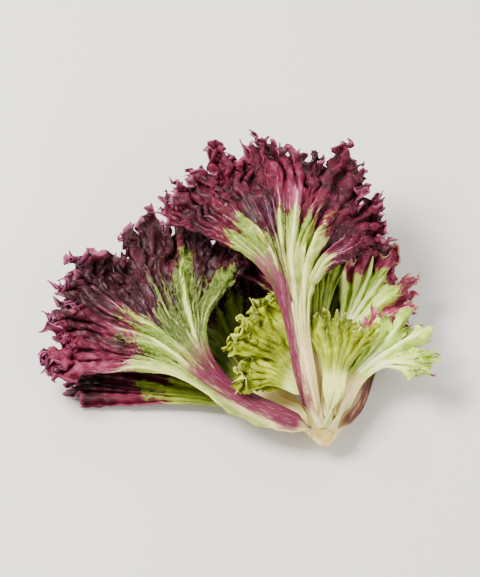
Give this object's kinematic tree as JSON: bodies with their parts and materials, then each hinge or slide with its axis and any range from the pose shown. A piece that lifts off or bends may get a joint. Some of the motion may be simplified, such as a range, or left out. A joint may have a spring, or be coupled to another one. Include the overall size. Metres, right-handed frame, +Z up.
{
  "type": "red coral lettuce",
  "caption": "Head of red coral lettuce lying on its side, with fanned frilly leaves, thick petioles, a green heart and a cut stem stub.",
  "frame": {"origin": "centre of the head's box over the ground it lies on", "axes": "+Z up; the cut stem points towards -Y and the leaves fan out towards +Y; the left leaves lie towards -X"},
  "size_m": [0.2578, 0.1922, 0.0775],
  "materials": {
    "red_leaf": "satin leaf with a dark red frilled margin, green centre and magenta petiole",
    "green_leaf": "satin pale green leaf with whitish veins and red tips",
    "heart_leaf": "satin yellow-green young leaf",
    "stem": "pale cream stem with a dry cut face"
  },
  "bodies": {
    "root": {"stem": "stem", "leaf_under_left": "red_leaf", "leaf_under_middle": "red_leaf", "leaf_under_top": "red_leaf", "leaf_under_right": "red_leaf", "leaf_right": "green_leaf", "leaf_right_back": "red_leaf", "leaf_inner_top": "red_leaf", "leaf_middle_top": "red_leaf", "leaf_left": "red_leaf", "leaf_top": "red_leaf", "heart_right": "heart_leaf", "heart_front": "heart_leaf", "heart_middle": "heart_leaf", "heart_left": "heart_leaf"}
  },
  "joints": []
}
